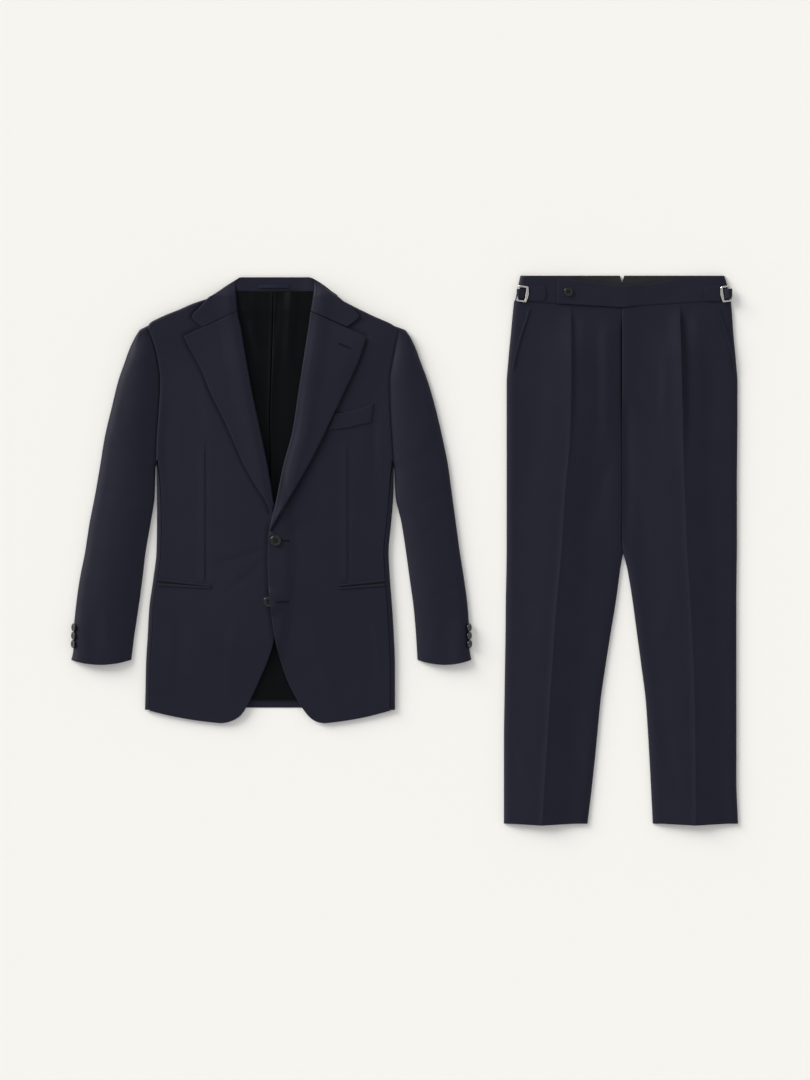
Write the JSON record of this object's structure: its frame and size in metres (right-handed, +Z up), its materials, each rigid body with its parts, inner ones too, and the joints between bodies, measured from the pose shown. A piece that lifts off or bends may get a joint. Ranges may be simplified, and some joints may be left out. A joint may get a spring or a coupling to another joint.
{
  "type": "suit",
  "caption": "Two-piece suit laid flat: a notch-lapel jacket, buttoned, beside its pleated trousers with side adjusters.",
  "frame": {"origin": "centre of the set's bounding box, on the surface that it lies on", "axes": "+Z up from the surface towards the fronts, +Y from the hems to the collar and the waistband, +X from the jacket to the trousers"},
  "size_m": [1.2139, 1, 0.0171],
  "materials": {
    "wool": "navy worsted wool, matt, fine plain weave",
    "lining": "near-black twill lining with a soft sheen",
    "band_lining": "dark grey cotton waistband lining, matt",
    "tape": "dark blue woven tape",
    "horn": "dark horn-look, satin",
    "metal": "bright nickel plate"
  },
  "bodies": {
    "root": {"right_front": "wool", "left_front": "wool", "right_side_panel": "wool", "left_side_panel": "wool", "right_back": "wool", "left_back": "wool", "back_lining": "lining", "right_top_sleeve": "wool", "left_top_sleeve": "wool", "right_under_sleeve": "wool", "left_under_sleeve": "wool", "right_lapel": "wool", "left_lapel": "wool", "right_collar_leaf": "wool", "left_collar_leaf": "wool", "collar_stand": "wool", "collar_back_fall": "wool", "hanger_loop": "tape", "breast_welt": "wool", "right_pocket_upper_jet": "wool", "right_pocket_lower_jet": "wool", "left_pocket_upper_jet": "wool", "left_pocket_lower_jet": "wool", "upper_front_button": "horn", "lower_front_button": "horn", "right_cuff_button_1": "horn", "right_cuff_button_2": "horn", "right_cuff_button_3": "horn", "left_cuff_button_1": "horn", "left_cuff_button_2": "horn", "left_cuff_button_3": "horn", "right_leg_front": "wool", "left_leg_front": "wool", "right_leg_back": "wool", "left_leg_back": "wool", "right_side_pocket_welt": "wool", "left_side_pocket_welt": "wool", "right_front_band": "wool", "left_front_band": "wool", "right_back_band": "wool", "left_back_band": "wool", "right_band_lining": "band_lining", "left_band_lining": "band_lining", "right_adjuster_strap": "wool", "left_adjuster_strap": "wool", "right_buckle": "metal", "left_buckle": "metal", "waist_button": "horn"}
  },
  "joints": []
}
